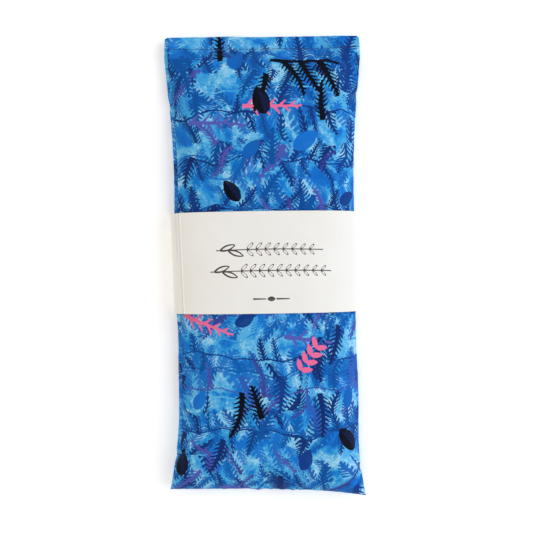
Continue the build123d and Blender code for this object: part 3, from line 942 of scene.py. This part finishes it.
def paper_material(crease, askew):
    """Cream card with a cracked crease and painted shade beside it, and a line drawing of two lavender
    sprigs over a small ornament. The crease is crease millimetres left of the middle, and goes askew
    millimetres further left for each one up the band."""
    material, tree, shader = new_material("band_paper")
    place = flat_place(tree)
    x, y = split_place(tree, place)
    fibres = Term(tree, noise(tree, place, 1.4, 5.0, 0.65).outputs["Fac"])
    clouds = Term(tree, noise(tree, place, 0.05, 2.0, 0.5).outputs["Fac"])
    tone = 0.3 * fibres + 0.7 * clouds
    colour = mixed(tree, ramp(tone, 0.3, 0.7), dye(231, 227, 221), dye(234, 231, 226))
    specks = Term(tree, noise(tree, place, 1.9, 1.0, 0.4).outputs["Fac"])
    colour = mixed(tree, (specks > 0.80) * 0.3, colour, dye(170, 150, 126))

    for left, long, high, last in ((-24, 53, 6, 11), (-27, 60, -4.5, 13)):
        colour = stamp(tree, "sprig", colour, place, PENCIL, X=left, Y=high, Angle=0, Length=long, Bow=0.5,
                       Reach=3.3, Pitch=4.4, Line=0.5, First=3, Last=last)
        for ahead, turn in ((2, 20), (6, -20)):
            for bow in (-1.1, 1.1):
                colour = stamp(tree, "stem", colour, place, PENCIL, X=left + ahead, Y=high, Angle=turn,
                               Length=8, Bow=bow, Width=0.8)
    level = {"Y": -18, "Angle": 0, "Bow": 0}
    for left in (-6, 5.5):
        colour = stamp(tree, "stem", colour, place, PENCIL, X=left, Length=6.5, Width=0.7, **level)
    colour = stamp(tree, "leaf", colour, place, PENCIL, X=1, Length=4, Width=2.4, Belly=1, **level)

    # the crease: cracked and pale, with a soft fold beside it; a painted shadow lies just left of the crack
    # and painted shade along the fold
    frayed = noise(tree, place, 0.9, 3.0, 0.7)
    wander = (Term(tree, frayed.outputs["Fac"]) - 0.5) * 0.9
    off = x + crease + y * askew + wander
    crack = ramp(abs(off), 0.55, 0.2)
    fold = ramp(abs(x + crease + y * askew + 3.0 - 0.3 * wander), 0.8, 0.0) * ramp(y, -4.0, 6.0)
    shadow = ramp(abs(off + 0.8), 0.7, 0.1)
    # painted shade: the strip beside the crack and the fold line are darkened
    colour = mixed(tree, shadow * 0.5 + fold * 0.3, colour, dye(206, 194, 182))
    colour = mixed(tree, crack * 0.9, colour, dye(254, 253, 251))
    set_bump(tree, shader, fibres * 0.012 + clouds * 0.05 + crack * 0.12 - fold * 0.1, 1.0)
    tree.links.new(colour, shader.inputs["Base Color"])
    set_levels(shader, Roughness=0.5, Specular_IOR_Level=0.3)
    return material


# ------------------------------------------------------------------ pieces of the bag


def repaint(node, material):
    """Gives a CAD node that stays in view its own material."""
    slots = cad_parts[node].data.materials
    slots.clear()
    slots.append(material)


def on_pillow(made, node):
    """Says that a piece rides on the pillow in place of a CAD node."""
    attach(made, "pillow")
    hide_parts(node)


def panel(name, grid, flat, material, node):
    made = piece(name, grid, grid_faces(*grid.shape[:2]), material, flat)
    on_pillow(made, node)


panel("front_panel_cloth", front_grid, front_flat, front_cotton, "cover_front_panel")
panel("back_panel_cloth", back_grid, back_flat, back_cotton, "cover_back_panel")


def closing_stitches(name, grid, side, node):
    """Separate stitches along the hem, each one dipping into the cloth at both ends."""
    line = grid[len(body_v) - 1]
    line = line[np.argsort(line[:, 0])]
    points, faces = [], []
    for number in range(STITCHES):
        middle = (number - (STITCHES - 1) / 2) * STITCH_PITCH
        share = np.linspace(-1, 1, 9)
        x = middle + share * 0.46 * STITCH_PITCH
        y = np.interp(x, line[:, 0], line[:, 1]) + share * 0.06 * MM
        z = np.interp(x, line[:, 0], line[:, 2]) + side * (0.13 - 0.30 * share**6) * MM
        ring, made = tube(np.stack([x, y, z], axis=1), 0.16 * MM * (1 - 0.35 * share**4))
        faces += [[corner + len(points) for corner in face] for face in made]
        points += ring.tolist()
    on_pillow(piece(name, points, faces, navy_thread), node)


closing_stitches("closing_stitches_front", front_grid, 1, "closing_seam_needle_thread")
closing_stitches("closing_stitches_back", back_grid, -1, "closing_seam_bobbin_thread")


def seam_threads(name, side, node):
    """Thread of the turned seam, just inside the cloth, down one side, across and up the other."""
    left, right, bottom = front_grid[: len(body_v), 0], front_grid[: len(body_v), -1], front_grid[0]
    runs = []
    for run in (left[:4:-3], bottom[3:-3:3] + (0, 1.1 * MM, 0), right[5::3]):
        pull = run * (0, 1, 0) + (0, 0, 7 * MM) - run
        runs.append(run + pull / np.linalg.norm(pull, axis=1, keepdims=True) * 1.2 * MM)
    path = np.concatenate(runs) + (0, 0, side * 0.12 * MM)
    points, faces = tube(path, 0.1 * MM)
    on_pillow(piece(name, points, faces, navy_thread), node)


seam_threads("side_seam_thread_upper", 1, "side_seam_needle_thread")
seam_threads("side_seam_thread_lower", -1, "side_seam_bobbin_thread")


def inner_form(shrink, inset, lumps=0.0):
    """Rings of a bag inside the printed one, closed to a flat edge at both ends. They follow the
    printed bag, so they reach about 2 mm past the CAD's liner and seed at each side, and 1 mm below
    them. So the band cuts through them as it slides, which the CAD's band doesn't."""
    low, high = liner_box[0].y + inset, liner_box[1].y - inset
    rows = rings[rings[:, :, 1].mean(axis=1) > low]
    rows = rows[rows[:, :, 1].mean(axis=1) < high][::3]
    y = rows[:, :, 1].mean(axis=1)
    near = np.clip(np.minimum(y - low, high - y) / (12 * MM), 0, 1)
    depth = shrink * np.sqrt(1 - (1 - near) ** 2) + 0.02
    lift = LAP_LIFT * (1 - smooth(np.abs(y), BAND_HALF + 0.5 * MM, BAND_HALF + 5 * MM))
    form = rows.copy()
    form[:, :, 0] *= shrink
    level = INNER_LEVEL + lift
    wide = np.clip(1 - (1 - near) ** 2, 0, 1)[:, None]
    lifted = lift[:, None] + rows[:, :, 2] * (1 - lift[:, None] / CROWN)
    form[:, :, 2] = level[:, None] + (lifted - level[:, None]) * depth[:, None]
    bumps = ripple(form[:, :, 0] + 2 * form[:, :, 1], 3.0, 5 * MM) * ripple(form[:, :, 1], 1.0, 4 * MM)
    form[:, :, 2] += bumps * lumps * wide
    return form


liner_rings = inner_form(0.955, 0.0)
half_ring = liner_rings.shape[1] // 2
liner_rings = np.concatenate([liner_rings, liner_rings[:, :1]], axis=1)
for name, columns, node in (
    ("liner_cloth_front", np.s_[: half_ring + 1], "liner_front_panel"),
    ("liner_cloth_back", np.s_[half_ring:], "liner_back_panel"),
):
    grid = liner_rings[:, columns]
    flat = np.stack([np.cumsum(np.ones(grid.shape[:2]), axis=1) * 2.5, grid[:, :, 1] / MM], axis=2)
    made = piece(name, grid, grid_faces(*grid.shape[:2]), liner_cotton, flat)
    on_pillow(made, node)

left, right = liner_rings[::-1, 0], liner_rings[:, half_ring]
near, far = liner_rings[0, 1:half_ring], liner_rings[-1, half_ring - 1 : 0 : -1]
liner_edge = np.concatenate([left, near, right, far])
liner_edge[:, 0] *= 0.985
for name, side, node in (
    ("liner_seam_thread_upper", 1, "liner_seam_needle_thread"),
    ("liner_seam_thread_lower", -1, "liner_seam_bobbin_thread"),
):
    points, faces = tube(liner_edge + (0, 0, side * 0.11 * MM), 0.09 * MM)
    on_pillow(piece(name, points, faces, pale_thread), node)

seed_rings = inner_form(0.93, 1.5 * MM, lumps=0.12 * MM)
rows, around = seed_rings.shape[:2]
faces = grid_faces(rows, around, closed=True)
faces += [list(range(around))[::-1], list(range((rows - 1) * around, rows * around))]
seed_mass = piece("flaxseed_mass", seed_rings, faces, flax)
on_pillow(seed_mass, "flaxseed_fill")
repaint("lavender_buds", buds)

# ------------------------------------------------------------------ paper band


def band_line(y):
    """Middle line of the strip at y, from the inner end of its lap round to the outer end."""
    twist = y / BAND_HALF  # the crease and the left edge run a little askew
    inset = PAPER / 2 / MM
    half, base, crown = BAND_SPAN / MM - inset, inset, BAND_CROWN / MM - inset
    left = -(half - 0.25 + 0.55 * twist)
    crease = (-41.3 - 0.9 * twist + 0.1, 15.7 - 0.1)
    seam = SEAM_LEVEL / MM
    upper = base + 0.35
    line = np.concatenate(
        [
            np.linspace((-6, upper), (7.5, upper), 18)[:-1],
            bezier((7.5, upper), (8.2, upper), (8.3, base), (9.0, base))[::8],
            np.linspace((9.0, base), (30, base), 26)[:-1],
            lower_corner(half),
            bezier((half, seam), (half - 1.2, 16.8 - inset), (30, crown), (0, crown)),
            bezier((0, crown), (-24, crown), (-35.6, 19.9 - inset), crease),
            bezier(crease, (crease[0] - 3.9, crease[1] - 2.6), (left, 10.8), (left, seam)),
            bezier((left, seam), (left, 2.2), (-41, base), (-30, base)),
            np.linspace((-30, base), (6, base), 46),
        ]
    )
    return line * MM


def even(line, count):
    """The same line with evenly spaced points, and the distance along it from its top middle."""
    run = np.concatenate([[0], np.cumsum(np.linalg.norm(np.diff(line, axis=0), axis=1))])
    top = run[np.argmax(line[:, 1] - 0.001 * np.abs(line[:, 0]))]
    places = np.linspace(0, run[-1], count)
    return np.stack([np.interp(places, run, line[:, k]) for k in range(2)], axis=1), places - top


band_rows = np.concatenate([np.array([0, 0.25, 0.6]) * MM, spaced(1 * MM, 2 * BAND_HALF - 1 * MM, 1 * MM)])
band_rows = np.concatenate([band_rows, 2 * BAND_HALF - np.array([0.6, 0.25, 0]) * MM]) - BAND_HALF
outer, inner, band_flat, crease_runs = [], [], [], []
for y in band_rows:
    line, run = even(band_line(y), 271)
    tangent = np.gradient(line, axis=0)
    tangent /= np.linalg.norm(tangent, axis=1, keepdims=True)
    normal = np.stack([tangent[:, 1], -tangent[:, 0]], axis=1)
    for layer, offset in ((outer, PAPER / 2), (inner, -PAPER / 2)):
        section = line + normal * offset
        layer.append(np.stack([section[:, 0], np.full(len(line), y), section[:, 1]], axis=1))
    band_flat.append(np.stack([-run / MM, np.full(len(line), y / MM)], axis=1))
    crease_place = np.hypot(line[:, 0] + (41.2 + 0.9 * y / BAND_HALF) * MM, line[:, 1] - 15.6 * MM)
    crease_runs.append(run[np.argmin(crease_place)] / MM)
outer, inner, band_flat = np.array(outer), np.array(inner), np.array(band_flat)
count = outer.shape[0] * outer.shape[1]
faces = grid_faces(*outer.shape[:2], flip=True) + grid_faces(*outer.shape[:2], start=count)
index = np.arange(count).reshape(outer.shape[:2])
rim = np.concatenate([index[0, :-1], index[:-1, -1], index[-1, :0:-1], index[:0:-1, 0]])
for here, after in zip(rim, np.roll(rim, -1)):
    faces.append([int(here), int(after), int(after + count), int(here + count)])
askew, crease = np.polyfit(band_rows / MM, crease_runs, 1)
card = paper_material(float(crease), float(askew))
points, places = np.concatenate([outer, inner]), np.concatenate([band_flat, band_flat])
band = piece("belly_band_card", points, faces, card, places)
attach(band, "belly_band")
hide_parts("paper_band")

glue, tree, shader = new_material("dried_glue")
node = tree.nodes.new("ShaderNodeTexCoord")
haze = noise(tree, node.outputs["Object"], 900.0, 2.0, 0.6)
amber = mixed(tree, Term(tree, haze.outputs["Fac"]), dye(214, 200, 160), dye(236, 228, 200))
tree.links.new(amber, shader.inputs["Base Color"])
set_levels(shader, Roughness=0.3)
repaint("band_glue_strip", glue)

# ------------------------------------------------------------------ stage, light and camera

floor_mesh = bpy.data.meshes.new("floor")
corners = [(2 * across, 2 * along, -0.0001) for across, along in ((-1, -1), (1, -1), (1, 1), (-1, 1))]
floor_mesh.from_pydata(corners, [], [(0, 1, 2, 3)])
floor = add_object("floor", floor_mesh)
floor_paint, tree, shader = new_material("floor")
set_levels(shader, Base_Color=(0.97, 0.97, 0.97, 1), Roughness=0.9, Specular_IOR_Level=0.0)
set_levels(shader, Emission_Color=(1, 1, 1, 1), Emission_Strength=0.16)
floor_mesh.materials.append(floor_paint)

world = bpy.data.worlds.new("studio")
bpy.context.scene.world = world
world.use_nodes = True
sky = world.node_tree.nodes["Background"]
sky.inputs["Color"].default_value = (1.0, 0.962, 0.915, 1)
sky.inputs["Strength"].default_value = 0.78


def area_light(name, place, power, tint):
    """A round lamp, aimed at the middle of the pillow."""
    light = bpy.data.lights.new(name, "AREA")
    light.shape = "DISK"
    light.size = LAMP_SIZE
    light.energy = power
    light.color = tint
    lamp = add_object(name, light)
    lamp.location = place
    lamp.rotation_euler = (-Vector(place)).to_track_quat("-Z", "Y").to_euler()


LAMP_SIZE = 1.1
area_light("window", (0.95, 0.15, 0.8), 8.6, (0.70, 0.84, 1.0))
area_light("fill", (-0.95, -0.1, 0.5), 1.1, (1.0, 0.92, 0.82))

camera = bpy.data.cameras.new("camera")
camera.lens, camera.sensor_width = 50, 36
eye = add_object("camera", camera)
ROLL = math.radians(-0.8)
right, up = (math.cos(ROLL), math.sin(ROLL)), (-math.sin(ROLL), math.cos(ROLL))
OFF_RIGHT, OFF_UP, HEIGHT = 0.8 * MM, -2.05 * MM, 0.3856
eye.location = (OFF_RIGHT * right[0] + OFF_UP * up[0], OFF_RIGHT * right[1] + OFF_UP * up[1], HEIGHT)
eye.rotation_euler = (0, 0, ROLL)
bpy.context.scene.camera = eye
bpy.context.scene.view_settings.view_transform = "Standard"
